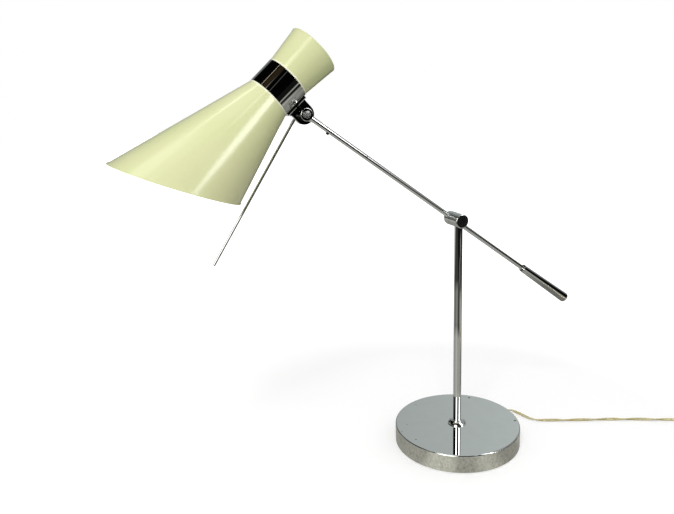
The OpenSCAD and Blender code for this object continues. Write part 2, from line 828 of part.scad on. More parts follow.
// Outline of the inline switch, long side along Y
module switch_outline() {
  w = switch_w / 2;
  l = switch_len / 2;
  polygon([
    [-w, -l * 0.45], [-w, l * 0.45], [-w * 0.45, l * 0.9], [-w * 0.4, l],
    [w * 0.4, l], [w * 0.45, l * 0.9], [w, l * 0.45], [w, -l * 0.45],
    [w * 0.45, -l * 0.9], [w * 0.4, -l], [-w * 0.4, -l], [-w * 0.45, -l * 0.9]
  ]);
}

module at_switch() {
  translate([switch_x, switch_y - switch_len / 2, 0]) children();
}

module switch_lower() {
  color([0.92, 0.9, 0.82]) at_switch() difference() {
    linear_extrude(height = axis_z) switch_outline();
    translate([-8, -14, 2]) cube([16, 28, switch_h]);
  }
}

module switch_upper() {
  color([0.92, 0.9, 0.82]) at_switch() difference() {
    translate([0, 0, axis_z]) linear_extrude(height = switch_h - axis_z) switch_outline();
    translate([-rocker_w / 2 - 0.2, -rocker_slot / 2, -1])
      cube([rocker_w + 0.4, rocker_slot, switch_h + 2]);
    translate([-7.2, 0, rocker_z]) rotate([0, 90, 0]) cylinder(r = 1 + run, h = 14.4, $fn = 32);
  }
}

module switch_rocker() {
  color([0.95, 0.93, 0.86]) at_switch() translate([0, 0, rocker_z]) rotate([rocker_tilt, 0, 0]) {
    translate([-rocker_w / 2, 0, 0]) rotate([90, 0, 90]) linear_extrude(height = rocker_w)
      polygon([[-7.6, -1.4], [7.6, -1.4], [7.4, 5.8], [3.7, 4.4], [0, 4], [-3.7, 4.4], [-7.4, 5.8]]);
    translate([-7, 0, 0]) rotate([0, 90, 0]) cylinder(r = 1, h = 14, $fn = 32);
  }
}

// Flat two-pin plug, cord side at -Y
module plug_body() {
  w = 17;
  color([0.92, 0.9, 0.82]) translate([plug_x, plug_y, 0]) difference() {
    union() {
      translate([0, 0, 0]) linear_extrude(height = switch_h) polygon([
        [-5, 6], [5, 6], [w - 3, 20], [w, 26], [w, plug_len], [-w, plug_len], [-w, 26], [3 - w, 20]
      ]);
      translate([0, 0, axis_z]) rotate([-90, 0, 0]) cylinder(d1 = cord_d + 2, d2 = 9, h = 7);
    }
    for (s = [-1, 1]) translate([s * pin_gap / 2, plug_len - 8, axis_z]) rotate([-90, 0, 0])
      cylinder(d = 4 + 2 * fit, h = 20);
  }
}

module plug_pins() {
  color([0.8, 0.72, 0.4]) for (s = [-1, 1])
    translate([plug_x + s * pin_gap / 2, plug_y + plug_len - 8, axis_z]) rotate([-90, 0, 0]) {
      cylinder(d = 4, h = 8 + pin_len - 1);
      translate([0, 0, 7 + pin_len]) cylinder(d1 = 4, d2 = 2.4, h = 1);
    }
}

base_shell();
base_ballast();
base_felt();
post_nut();
post_collar();
post();
pivot_front();
pivot_disc();
pivot_washer();
pivot_spindle();
pivot_rear();
arm_tube();
arm_wire();
arm_screw();
counterweight();
knuckle_drum();
knuckle_screw();
knuckle_spacer();
knuckle_nut();
shade_bracket();
bracket_screws();
handle_rod();
waist_band();
lower_shade();
cap_shade();
holder_strap();
lamp_holder();
holder_nut();
holder_wire();
bulb_cap();
bulb_globe();
cord_gland();
lead_wire();
cord_lead();
cord_coil();
switch_lower();
switch_upper();
switch_rocker();
plug_body();
plug_pins();
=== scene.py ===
"""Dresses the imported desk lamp: camera, cord, finishes and studio.

Lengths are in metres and the frame is the CAD's: +Z up, post on the Z axis, shade towards -X.
"""

import math

import bpy
from mathutils import Matrix, Vector


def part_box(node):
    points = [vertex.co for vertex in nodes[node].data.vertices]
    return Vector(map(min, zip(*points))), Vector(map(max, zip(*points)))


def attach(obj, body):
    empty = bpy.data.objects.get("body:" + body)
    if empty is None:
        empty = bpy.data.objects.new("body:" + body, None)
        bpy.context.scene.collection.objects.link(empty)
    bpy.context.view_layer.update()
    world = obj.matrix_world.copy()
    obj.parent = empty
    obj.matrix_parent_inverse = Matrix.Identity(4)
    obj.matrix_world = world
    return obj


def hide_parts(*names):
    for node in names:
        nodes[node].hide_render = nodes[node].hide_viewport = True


MM = 0.001
WHITE = (1, 1, 1, 1)

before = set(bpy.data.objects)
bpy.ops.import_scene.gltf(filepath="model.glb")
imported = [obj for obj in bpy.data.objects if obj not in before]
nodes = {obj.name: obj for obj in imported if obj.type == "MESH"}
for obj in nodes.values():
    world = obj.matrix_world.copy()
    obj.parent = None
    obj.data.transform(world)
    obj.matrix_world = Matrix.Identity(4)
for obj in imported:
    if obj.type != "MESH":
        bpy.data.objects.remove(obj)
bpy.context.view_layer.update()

# Camera: place and angles fitted to the photographed outlines
EYE = Vector((-420.89, -672.85, 466.74)) * MM
YAW = math.radians(21.296)
PITCH = math.radians(15.222)
ROLL = math.radians(-2.386)
SENSOR_WIDTH = 36.0
LENS = 35.457


def make_camera():
    forward = Vector(
        (math.sin(YAW) * math.cos(PITCH), math.cos(YAW) * math.cos(PITCH), -math.sin(PITCH))
    )
    level = Vector((math.cos(YAW), -math.sin(YAW), 0.0))
    above = level.cross(forward)
    right = math.cos(ROLL) * level + math.sin(ROLL) * above
    up = right.cross(forward)
    data = bpy.data.cameras.new("camera")
    data.sensor_width = SENSOR_WIDTH
    data.lens = LENS
    camera = bpy.data.objects.new("camera", data)
    turn = Matrix((right, up, -forward)).transposed()
    camera.matrix_world = Matrix.Translation(EYE) @ turn.to_4x4()
    bpy.context.scene.collection.objects.link(camera)
    bpy.context.scene.camera = camera


make_camera()

# Cord: the same route and coil as the CAD model's, in millimetres
CORD_D = 4.0
GLAND_TURN = math.radians(13)
GLAND_TIP = 94.0
GLAND_Z = 8.5
SWITCH = Vector((318, -142, 7))
SWITCH_LEN = 60.0
COIL_GAP = 22.0
COIL_TURNS = 9.5
COIL_LAYERS = 4
COIL_PITCH = 4.5
COIL_IN = 16.6
COIL_OUT = COIL_IN + COIL_PITCH * COIL_TURNS / COIL_LAYERS
COIL_X = SWITCH.x - COIL_OUT
COIL_Y = SWITCH.y - SWITCH_LEN - COIL_GAP
COIL_STEPS = 24
TAIL = 32.0
ROUTE = [
    (99.5, 22, 7.6), (103.5, 21, 6.1), (107, 19, 4.4), (110, 16.2, 3), (112, 12.5, 2.1),
    (113.3, 8, 2), (115, 2, 2), (119, -5, 2), (125, -10.8, 2), (133, -14.8, 2),
    (145, -20.5, 2), (160, -27.5, 2), (178, -35.5, 2), (200, -45, 2), (222, -55, 2),
    (244, -66, 2), (265, -77, 2), (286, -88, 2), (303, -98, 2), (314, -112, 2.4),
    (318, -126, 4.6),
]


def smooth(points, steps):
    """Points on the smooth curve through all of points but the first and last."""
    out = []
    for i in range(1, len(points) - 2):
        p0, p1, p2, p3 = points[i - 1 : i + 3]
        for k in range(steps):
            t = k / steps
            out.append(
                0.5
                * (
                    2 * p1
                    + (p2 - p0) * t
                    + (2 * p0 - 5 * p1 + 4 * p2 - p3) * t * t
                    + (3 * p1 - p0 - 3 * p2 + p3) * t * t * t
                )
            )
    out.append(points[-2])
    return out


def lead_points():
    """From the sleeve's tip to the switch; smooth() drops the first and the last point."""
    out = Vector((math.cos(GLAND_TURN), math.sin(GLAND_TURN), 0))
    start = out * GLAND_TIP + Vector((0, 0, GLAND_Z))
    ends = [SWITCH + Vector((0, CORD_D, 0)), SWITCH, SWITCH - Vector((0, 8, 0))]
    return [start - 8 * out, start, start + CORD_D * out] + [Vector(p) for p in ROUTE] + ends


def coil_height(turn):
    """Height of the coil's tube after that many turns; each climb takes half a turn."""
    per_layer = COIL_TURNS / COIL_LAYERS
    n = round(turn / per_layer)
    rise = max(-0.25, min(0.25, turn - n * per_layer)) * 2
    if n == 0:
        rise = 0.5
    if n == COIL_LAYERS:
        rise = -0.5
    return CORD_D / 2 + COIL_PITCH * (n - 0.5 + rise)


def coil_radius(turn):
    per_layer = COIL_TURNS / COIL_LAYERS
    n = math.floor(turn / per_layer + 1e-6)
    f = turn / per_layer - n
    return COIL_IN + (COIL_OUT - COIL_IN) * (1 - f if n % 2 == 0 else f)


def ease(t):
    return t * t * (3 - 2 * t)


def coil_points():
    """From the switch down into the coil, round its turns and out to the plug."""
    y = SWITCH.y - SWITCH_LEN
    low = CORD_D / 2
    points = []
    for k in range(6):
        t = k / 6
        z = SWITCH.z + (low - SWITCH.z) * ease(t)
        points.append(Vector((SWITCH.x, y - CORD_D - (COIL_GAP - CORD_D) * t, z)))
    for i in range(round(COIL_TURNS * COIL_STEPS) + 1):
        t = i / COIL_STEPS
        a, r = math.tau * t, coil_radius(t)
        points.append(Vector((COIL_X + r * math.cos(a), COIL_Y - r * math.sin(a), coil_height(t))))
    top = coil_height(COIL_TURNS)
    for k in range(1, 7):
        t = k / 6
        z = top + (SWITCH.z - top) * ease(t)
        points.append(Vector((COIL_X - COIL_OUT, COIL_Y + (TAIL - CORD_D) * t, z)))
    points.append(Vector((COIL_X - COIL_OUT, COIL_Y + TAIL, SWITCH.z)))
    return points


def even_steps(points, step):
    """The line through points again, with a point at every step of its length."""
    out, left = [points[0]], step
    for a, b in zip(points, points[1:]):
        d = (b - a).length
        while d > left:
            a = a + (b - a) * (left / d)
            out.append(a)
            d -= left
            left = step
        left -= d
    if (out[-1] - points[-1]).length > step / 3:
        out.append(points[-1])
    else:
        out[-1] = points[-1]
    return out


def mesh_object(name, verts, faces, material_index=None):
    mesh = bpy.data.meshes.new(name)
    mesh.from_pydata(verts, [], faces)
    if material_index:
        mesh.polygons.foreach_set("material_index", material_index)
    mesh.polygons.foreach_set("use_smooth", [True] * len(faces))
    mesh.update()
    made = bpy.data.objects.new(name, mesh)
    bpy.context.scene.collection.objects.link(made)
    return made


# The twisted pair's section, in millimetres: its two lobes and the wire in each
LOBE_R = 0.93
LOBE_OFF = 1.03
LOBE_SIDES = 10
WIRE_R = 0.45
WIRE_SIDES = 6
TWIST_PITCH = 80.0
STEP = 2.4
# Material slots of the cord
JACKET, WIRE = 0, 1


def flex(name, points):
    """Twisted pair along points: two lobes of clear jacket, each with a stranded wire inside."""
    line = even_steps(points, STEP)
    verts, faces, slots = [], [], []
    tubes = [
        (1, LOBE_R, LOBE_SIDES, JACKET),
        (-1, LOBE_R, LOBE_SIDES, JACKET),
        (1, WIRE_R, WIRE_SIDES, WIRE),
        (-1, WIRE_R, WIRE_SIDES, WIRE),
    ]
    for side, radius, n, slot in tubes:
        first = len(verts)
        angles = [math.tau * k / n for k in range(n)]
        for i, p in enumerate(line):
            ahead = line[min(i + 1, len(line) - 1)] - line[max(i - 1, 0)]
            ahead.normalize()
            across = ahead.cross(Vector((0, 0, 1))).normalized()
            above = across.cross(ahead)
            twist = math.tau * i * STEP / TWIST_PITCH
            centre = p + side * LOBE_OFF * (math.cos(twist) * across + math.sin(twist) * above)
            for a in angles:
                verts.append(MM * (centre + radius * (math.cos(a) * across + math.sin(a) * above)))
        for i in range(len(line) - 1):
            for k in range(n):
                a = first + i * n + k
                b = first + i * n + (k + 1) % n
                faces.append((a, b, b + n, a + n))
                slots.append(slot)
        last = first + (len(line) - 1) * n
        faces.append(tuple(range(first + n - 1, first - 1, -1)))
        faces.append(tuple(range(last, last + n)))
        slots += [slot, slot]
    made = mesh_object(name, verts, faces, slots)
    path = [MM * p for p in line]
    length = sum((b - a).length for a, b in zip(path, path[1:]))
    return made, path, length


cord, cord_path, cord_length = flex("flex", smooth(lead_points(), 6) + coil_points())
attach(cord, "stand")
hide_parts("cord_lead", "cord_coil")


# Materials
class Nodes:
    """A node tree, with short helpers to add and link nodes."""

    def __init__(self, tree):
        self.tree = tree
        tree.nodes.clear()

    def add(self, kind, **values):
        node = self.tree.nodes.new(kind)
        for key, value in values.items():
            if key in node.inputs:
                node.inputs[key].default_value = value
            else:
                setattr(node, key, value)
        return node

    def link(self, a, b):
        self.tree.links.new(a, b)

    def put(self, value, socket):
        if isinstance(value, bpy.types.NodeSocket):
            self.link(value, socket)
        else:
            socket.default_value = value

    def point(self, kind="Object"):
        return self.add("ShaderNodeTexCoord").outputs[kind]

    def axes(self, point):
        """A point's X, Y and Z."""
        node = self.add("ShaderNodeSeparateXYZ")
        self.link(point, node.inputs[0])
        return node.outputs

    def place(self, stretch=(1, 1, 1)):
        scaled = self.add("ShaderNodeMapping")
        scaled.inputs["Scale"].default_value = stretch
        self.link(self.point(), scaled.inputs["Vector"])
        return scaled.outputs[0]

    def noise(self, scale, detail=3.0, rough=0.5, stretch=(1, 1, 1)):
        node = self.add("ShaderNodeTexNoise", Scale=scale, Detail=detail, Roughness=rough)
        self.link(self.place(stretch), node.inputs["Vector"])
        return node.outputs["Fac"]

    def range(self, value, low, high, to_low=0, to_high=1):
        """to_low at low and below, to_high at high and above, straight between them."""
        node = self.add("ShaderNodeMapRange")
        node.inputs["From Min"].default_value = low
        node.inputs["From Max"].default_value = high
        node.inputs["To Min"].default_value = to_low
        node.inputs["To Max"].default_value = to_high
        self.link(value, node.inputs["Value"])
        return node.outputs[0]

    def mix(self, factor, a, b):
        node = self.add("ShaderNodeMix", data_type="RGBA")
        self.put(factor, node.inputs[0])
        self.put(a, node.inputs[6])
        self.put(b, node.inputs[7])
        return node.outputs[2]

    def math(self, operation, a, b):
        node = self.add("ShaderNodeMath", operation=operation)
        self.put(a, node.inputs[0])
        self.put(b, node.inputs[1])
        return node.outputs[0]

    def strongest(self, masks):
        total = masks[0]
        for mask in masks[1:]:
            total = self.math("MAXIMUM", total, mask)
        return total

    def rays(self, *kinds):
        """1 for the named kinds of ray, such as Is Camera Ray, 0 for the others."""
        path = self.add("ShaderNodeLightPath")
        return self.strongest([path.outputs[kind] for kind in kinds])

    def within(self, value, low, high, edge):
        """1 between low and high, fading to 0 over edge on both sides."""
        rise = self.range(value, low - edge, low + edge)
        fall = self.range(value, high - edge, high + edge, 1, 0)
        return self.math("MULTIPLY", rise, fall)

    def pits(self, size, share):
        """1 in small round pits, 0 elsewhere: size is their spacing, share how many there are."""
        cell = self.add("ShaderNodeTexVoronoi", feature="F1", Scale=1 / size, Randomness=1.0)
        self.link(self.place(), cell.inputs["Vector"])
        near = self.range(cell.outputs["Distance"], *PIT_RIM, 1, 0)
        rare = self.add("ShaderNodeSeparateColor")
        self.link(cell.outputs["Color"], rare.inputs[0])
        kept = self.math("LESS_THAN", rare.outputs[0], share)
        return self.math("MULTIPLY", near, kept)


class Finish(Nodes):
    """A material with one Principled shader."""

    def __init__(self, name):
        self.material = bpy.data.materials.new(name)
        self.material.use_nodes = True
        super().__init__(self.material.node_tree)
        self.output = self.add("ShaderNodeOutputMaterial")
        self.shader = self.add("ShaderNodeBsdfPrincipled")
        self.link(self.shader.outputs[0], self.output.inputs["Surface"])

    def set(self, **values):
        for key, value in values.items():
            self.shader.inputs[key.replace("_", " ")].default_value = value

    def colour(self, value):
        self.put(value, self.shader.inputs["Base Color"])

    def roughness(self, value):
        self.put(value, self.shader.inputs["Roughness"])

    def bump(self, height, strength, distance):
        node = self.add("ShaderNodeBump", Strength=strength, Distance=distance)
        self.link(height, node.inputs["Height"])
        self.link(node.outputs[0], self.shader.inputs["Normal"])


def rgb(r, g, b):
    """A colour written as sRGB numbers from 0 to 255."""

    def linear(c):
        c /= 255
        return c / 12.92 if c <= 0.04045 else ((c + 0.055) / 1.055) ** 2.4

    return (linear(r), linear(g), linear(b), 1.0)


def darker(colour, share):
    return tuple(share * c for c in colour[:3]) + (1,)


# Sparse pits: where one starts and ends fading, as a share of their spacing
PIT_RIM = (0.10, 0.16)
PIT_TONE = rgb(60, 58, 52)
PIT_ROUGH = 0.4
BASE_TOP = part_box("base_shell")[1].z
# Dark pits on the base's top: x, y, and size as a share of the largest
BASE_PITS = [
    (51.2, 50.8, 1.0), (-24.9, 65.6, 0.5), (-61.4, 22.9, 0.45), (-68.5, -14.7, 0.6),
    (69.5, -29.5, 1.0), (-75.3, 10.1, 0.45),
]
PIT_RADIUS = 1.9 * MM
# The base's wall is worn below this height, with a soft border
WORN_TOP = BASE_TOP - 1.9 * MM
WORN_EDGE = 0.4 * MM
WORN_PALE = (0.80, 0.80, 0.74, 1)
WORN_DULL = (0.58, 0.58, 0.51, 1)
WORN_RUNS = (0.26, 0.26, 0.21, 1)
SHADE_SLOPE = math.radians(41.5)
SHADE_AXIS = Vector((math.cos(SHADE_SLOPE), 0.0, math.sin(SHADE_SLOPE)))
BAND_MIDDLE = sum(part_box("waist_band"), Vector()) / 2
# Painted highlight: the enamel is painted near white up to this distance from the band's middle,
# over its rolled beads
BEAD_HIGHLIGHT_END = 16.3 * MM


def worn_side(m, tone):
    """Cloudy, dull plating with dark runs on the base's wall, below its rounded edge."""
    height = m.axes(m.point())["Z"]
    wall = m.range(height, WORN_TOP - WORN_EDGE, WORN_TOP + WORN_EDGE, 1, 0)
    cloud = m.range(m.noise(330, 5, 0.7, (1, 1, 0.8)), 0.36, 0.64)
    runs = m.range(m.noise(240, 3, 0.6, (1, 1, 0.3)), 0.62, 0.74, 0, 0.7)
    dull = m.mix(cloud, WORN_PALE, WORN_DULL)
    return m.mix(wall, tone, m.mix(runs, dull, WORN_RUNS))


def dark_pits(m):
    """1 in a small round pit at each of BASE_PITS on the base's flat top, 0 elsewhere."""
    point = m.point()
    pits = []
    for x, y, share in BASE_PITS:
        apart = m.add("ShaderNodeVectorMath", operation="DISTANCE")
        m.link(point, apart.inputs[0])
        apart.inputs[1].default_value = (x * MM, y * MM, BASE_TOP)
        radius = PIT_RADIUS * share
        pits.append(m.range(apart.outputs["Value"], 0.5 * radius, radius, 1, 0))
    return m.strongest(pits)


def chrome(name, tint, rough, pit_size=0.006, pit_share=0.06, scratch=0.02, base=False):
    """Old polished plating: faint haze, fine scratches and a few dark pits."""
    m = Finish(name)
    pits = m.pits(pit_size, pit_share)
    if base:
        pits = m.strongest([pits, dark_pits(m)])
    haze = m.noise(60, 4)
    tone = m.mix(m.range(haze, 0.35, 0.7, 0, 0.25), tint, darker(tint, 0.86))
    if base:
        tone = worn_side(m, tone)
    m.colour(m.mix(pits, tone, PIT_TONE))
    m.set(Metallic=1.0)
    streak = m.noise(900, 2, 0.6, (1, 1, 0.06))
    smear = m.range(haze, 0.3, 0.75, rough, rough * 1.5)
    smear = m.math("ADD", smear, m.range(streak, 0.4, 0.8, 0, rough))
    m.roughness(m.math("ADD", smear, m.math("MULTIPLY", pits, PIT_ROUGH)))
    m.bump(m.math("SUBTRACT", m.math("MULTIPLY", streak, scratch), pits), 0.05, 0.0001)
    return m.material


def along_shade(m):
    """Distance from the middle of the waist band along the shade's axis, both ways."""
    offset = m.add("ShaderNodeVectorMath", operation="SUBTRACT")
    m.link(m.point(), offset.inputs[0])
    offset.inputs[1].default_value = BAND_MIDDLE
    length = m.add("ShaderNodeVectorMath", operation="DOT_PRODUCT")
    m.link(offset.outputs[0], length.inputs[0])
    length.inputs[1].default_value = SHADE_AXIS
    return m.math("ABSOLUTE", length.outputs["Value"], 0.0)


def enamel(name):
    """Stoved cream enamel: warm and cool patches, orange peel, dark specks, and rolled beads
    painted near white as a painted highlight.
    """
    m = Finish(name)
    tone = m.mix(m.range(m.noise(9, 3), 0.35, 0.65), rgb(228, 229, 181), rgb(221, 227, 172))
    tone = m.mix(m.pits(0.012, 0.03), tone, rgb(120, 122, 80))
    # Painted highlight: enamel near the band, on its rolled beads, is painted near white
    bead_highlight = m.math("LESS_THAN", along_shade(m), BEAD_HIGHLIGHT_END)
    m.colour(m.mix(bead_highlight, tone, rgb(252, 252, 226)))
    m.set(Coat_Weight=0.9, Coat_Roughness=0.08, Specular_IOR_Level=0.15)
    m.roughness(m.range(m.noise(40, 3), 0.3, 0.7, 0.24, 0.34))
    m.bump(m.noise(520, 2), 0.05, 0.0002)
    return m.material


def flex_jacket(name):
    """Clear plastic that has yellowed unevenly."""
    m = Finish(name)
    m.colour(m.mix(m.range(m.noise(120, 2), 0.4, 0.6), rgb(246, 240, 194), rgb(234, 224, 164)))
    m.set(Transmission_Weight=0.5, IOR=1.5, Coat_Weight=0.3, Coat_Roughness=0.1)
    m.roughness(m.range(m.noise(300, 2), 0.3, 0.7, 0.16, 0.3))
    m.bump(m.noise(700, 2), 0.08, 0.0001)
    return m.material


def stranded_wire(name):
    """Bright copper strands, seen through the jacket."""
    m = Finish(name)
    lay = m.add("ShaderNodeTexWave", Scale=260.0, Distortion=3.0, Detail=2.0)
    m.link(m.place(), lay.inputs["Vector"])
    m.colour(m.mix(lay.outputs["Fac"], rgb(196, 164, 84), rgb(246, 224, 160)))
    m.set(Metallic=0.9, Roughness=0.35)
    m.bump(lay.outputs["Fac"], 0.4, 0.0002)
    return m.material


def cast_iron(name):
    """Rough dark iron with a little rust."""
    m = Finish(name)
    grain = m.noise(700, 4, 0.6)
    m.colour(m.mix(m.range(m.noise(30, 4), 0.4, 0.65), rgb(62, 60, 60), rgb(92, 72, 56)))
    m.set(Metallic=0.6)
    m.roughness(m.range(grain, 0.3, 0.7, 0.55, 0.85))
    m.bump(grain, 0.5, 0.0004)
    return m.material


def felt(name):
    """Green felt with its fibres."""
    m = Finish(name)
    fibre = m.noise(1600, 5, 0.7)
    m.colour(m.mix(m.range(fibre, 0.35, 0.65), rgb(34, 52, 40), rgb(62, 84, 66)))
    m.set(Roughness=0.95, Sheen_Weight=0.4, Sheen_Roughness=0.5)
    m.bump(fibre, 0.6, 0.0005)
    return m.material


def plain_metal(name, tint, rough):
    """Unplated metal with a fine grain and duller clouds."""
    m = Finish(name)
    grain = m.noise(800, 3, 0.6)
    dull = m.noise(70, 4)
    m.colour(m.mix(m.range(dull, 0.35, 0.7), tint, darker(tint, 0.7)))
    m.set(Metallic=1.0)
    smear = m.range(grain, 0.3, 0.7, rough, rough * 1.4)
    m.roughness(m.math("ADD", smear, m.range(dull, 0.4, 0.8, 0, 0.12)))
    m.bump(grain, 0.1, 0.0001)
    return m.material


def plastic(name, light, dark, rough, coat=0.2):
    """Moulded plastic, rubber or fibre in two close tones."""
    m = Finish(name)
    m.colour(m.mix(m.range(m.noise(45, 4), 0.35, 0.7), light, dark))
    m.set(Coat_Weight=coat, Coat_Roughness=0.12)
    m.roughness(m.range(m.noise(260, 3), 0.3, 0.7, rough, rough * 1.5))
    m.bump(m.noise(1300, 2), 0.06, 0.0001)
    return m.material


def opal_glass(name):
    """The bulb's frosted white glass."""
    m = Finish(name)
    m.colour(m.mix(m.range(m.noise(25, 2), 0.4, 0.6), rgb(246, 244, 236), rgb(238, 236, 226)))
    m.set(Transmission_Weight=0.35, IOR=1.5, Coat_Weight=0.6, Coat_Roughness=0.03)
    m.roughness(m.range(m.noise(90, 3), 0.3, 0.7, 0.3, 0.4))
    return m.material


CHROME_TINT = (0.80, 0.81, 0.79, 1)
BAND_TINT = (0.74, 0.74, 0.72, 1)
LOOKS = {
    "chrome_base": chrome(
        "chrome_base", CHROME_TINT, rough=0.012, pit_size=0.011, pit_share=0.012, base=True
    ),
    "chrome_tube": chrome(
        "chrome_tube", CHROME_TINT, rough=0.006, pit_size=0.007, pit_share=0.02, scratch=0.01
    ),
    "chrome_small": chrome(
        "chrome_small", CHROME_TINT, rough=0.015, pit_size=0.004, pit_share=0.05
    ),
    "chrome_barrel": chrome(
        "chrome_barrel", CHROME_TINT, rough=0.10, pit_size=0.004, pit_share=0.05
    ),
    "chrome_band": chrome(
        "chrome_band", BAND_TINT, rough=0.008, pit_size=0.006, pit_share=0.04, scratch=0.01
    ),
    "screw": plain_metal("screw", rgb(176, 178, 174), 0.38),
    "enamel": enamel("enamel"),
    "iron": cast_iron("iron"),
    "felt": felt("felt"),
    "brass": plain_metal("brass", rgb(206, 178, 110), 0.28),
    "steel": plain_metal("steel", rgb(188, 190, 192), 0.25),
    "dark_steel": plain_metal("dark_steel", rgb(48, 48, 50), 0.35),
    "fibre": plastic("fibre", rgb(120, 64, 40), rgb(94, 48, 30), 0.6, 0.0),
    "phenolic": plastic("phenolic", rgb(28, 24, 22), rgb(14, 12, 12), 0.28, 0.4),
    "ebonite": plastic("ebonite", rgb(6, 6, 6), rgb(3, 3, 3), 0.3, 0.05),
    "ivory": plastic("ivory", rgb(232, 224, 200), rgb(222, 212, 184), 0.3),
    "sleeve": plastic("sleeve", rgb(214, 204, 160), rgb(198, 186, 138), 0.5, 0.0),
    "wire_cover": plastic("wire_cover", rgb(206, 196, 150), rgb(190, 178, 130), 0.45, 0.0),
    "glass": opal_glass("glass"),
    "jacket": flex_jacket("jacket"),
    "wire": stranded_wire("wire"),
}
FINISH = {
    "chrome_base": ["base_shell"],
    "chrome_tube": ["post", "arm_tube", "counterweight", "handle_rod"],
    "chrome_small": ["post_collar", "knuckle_drum", "knuckle_nut", "shade_bracket"],
    "chrome_barrel": ["pivot_front", "pivot_rear"],
    "screw": ["knuckle_screw"],
    "chrome_band": ["waist_band"],
    "enamel": ["lower_shade", "cap_shade"],
    "iron": ["base_ballast"],
    "felt": ["base_felt"],
    "brass": ["post_nut", "holder_nut", "holder_strap", "bulb_cap", "plug_pins"],
    "steel": ["pivot_spindle", "bracket_screws"],
    "dark_steel": ["arm_screw"],
    "fibre": ["pivot_washer", "knuckle_spacer"],
    "phenolic": ["lamp_holder"],
    "ebonite": ["pivot_disc"],
    "ivory": ["switch_lower", "switch_upper", "switch_rocker", "plug_body"],
    "sleeve": ["cord_gland"],
    "wire_cover": ["arm_wire", "lead_wire", "holder_wire"],
    "glass": ["bulb_globe"],
}


for look, names in FINISH.items():
    for name in names:
        nodes[name].data.materials.clear()
        nodes[name].data.materials.append(LOOKS[look])
# In the order of the slots JACKET and WIRE
for look in ("jacket", "wire"):
    cord.data.materials.append(LOOKS[look])


# Studio: white for the camera; for the plating a grey table in a dim room with lit windows.
# Directions are azimuths in degrees, counted from -Y towards +X, and -200 to 200 is all round.
FLOOR_SIZE = 12.0
# The table away from the patches and zones below
TABLE_DARK = 0.008
# Its light and dark patches: x from, to, y from, to, edge, light
FLOOR_PATCHES = [
    (-9.0, -0.3, -0.7, 0.6, 0.08, 0.05),
    (-9.0, 0.10, -9.0, -1.8, 0.10, 0.07),
    (0.16, 0.34, -0.86, -0.62, 0.03, 0.38),
    (0.30, 2.0, -0.30, 0.9, 0.08, 0.09),
    (0.42, 0.70, -1.0, -0.74, 0.02, 0.34),
    (-2.5, 0.22, 0.60, 9.0, 0.10, 0.42),
]
# Its zones round the base, painted over the patches:
# azimuth from, to, edge, distance from, to, edge, light
FLOOR_ZONES = [
    (-200, 200, 5, -0.1, 0.66, 0.05, 0.17),
    (-80, -40, 8, 0.40, 0.66, 0.04, 0.28),
    (132, 200, 8, 0.40, 0.66, 0.04, 0.32),
    (-200, -134, 8, 0.40, 0.66, 0.04, 0.32),
    (-200, 52, 6, -0.1, 0.39, 0.03, 0.37),
    (-32, 18, 6, 0.38, 0.70, 0.03, 0.06),
    (22, 60, 5, 0.40, 0.60, 0.04, 0.44),
    (60, 125, 5, 0.30, 0.50, 0.04, 0.30),
    (-84, -40, 6, -0.1, 0.39, 0.03, 0.50),
    (-200, 200, 5, -0.1, 0.135, 0.015, 0.42),
    (-200, -98, 8, -0.1, 0.135, 0.015, 0.36),
    (-64, -34, 5, -0.1, 0.135, 0.015, 0.66),
    (-10, 10, 5, -0.1, 0.135, 0.015, 0.58),
    (20, 54, 5, -0.1, 0.135, 0.015, 0.34),
]
# The wall, and what is painted over it: azimuth from, to, edge, elevation from, to, edge, light
WALL = (0.51, 0.556, 0.555)
ROOM_PATCHES = [
    (160, 200, 18, -40, 55, 10, (0.22, 0.23, 0.23)),
    (-200, -168, 8, -40, 55, 10, (0.22, 0.23, 0.23)),
    (28, 130, 8, -40, 60, 8, (0.31, 0.32, 0.32)),
    (20, 95, 9, -40, 14, 3, (0.001, 0.001, 0.001)),
    (-170, 29, 7, -40, 64, 1.5, (0.001, 0.001, 0.001)),
    (-66, -26, 8, 45, 60, 5, (0.028, 0.020, 0.010)),
    (-150, -35, 8, 3, 24, 5, (0.30, 0.31, 0.31)),
    (-73, -70.5, 0.5, 48, 63, 1, (0.9, 0.8, 0.65)),
    (-12.5, -10.5, 0.5, 18, 34, 1, (0.10, 0.10, 0.10)),
    (-62, -36, 8, -5, 43, 4, (4.6, 4.6, 4.4)),
    (11, 16, 1.5, 50, 61, 2, (2.5, 2.5, 2.4)),
    (44, 64, 4, 16, 36, 3, (0.60, 0.62, 0.62)),
    (32, 46, 3, 4, 20, 3, (0.55, 0.55, 0.55)),
    (30, 43, 3, 11, 60, 3.5, (8.0, 8.1, 8.3)),
    (-125, -55, 8, 66, 77, 1.5, (1.8, 1.8, 1.75)),
    (-150, -126, 1.5, 73, 79, 1.5, (4.5, 4.5, 4.2)),
]
DEGREES = 180 / math.pi
# The floor's own colour for the light that it throws back, and for the camera
FLOOR_BOUNCE = (0.42, 0.42, 0.38, 1)
FLOOR_SEEN = (0.8, 0.8, 0.8, 1)
# For the camera the floor also glows, least up to this distance from the post and fully from
# the second one on, so that it keeps the shadow round the base and is white further out
GLOW_FROM, GLOW_TO = 0.30, 0.85
GLOW_LEAST = 0.30
# Even light from all sides on everything that isn't plating
FILL_LIGHT = 0.62
SHOWS_WHITE = ("Is Camera Ray", "Is Transmission Ray")


def heading(m, x, y):
    """Azimuth of the direction (x, y)."""
    turn = m.math("ARCTAN2", x, m.math("MULTIPLY", y, -1.0))
    return m.math("MULTIPLY", turn, DEGREES)


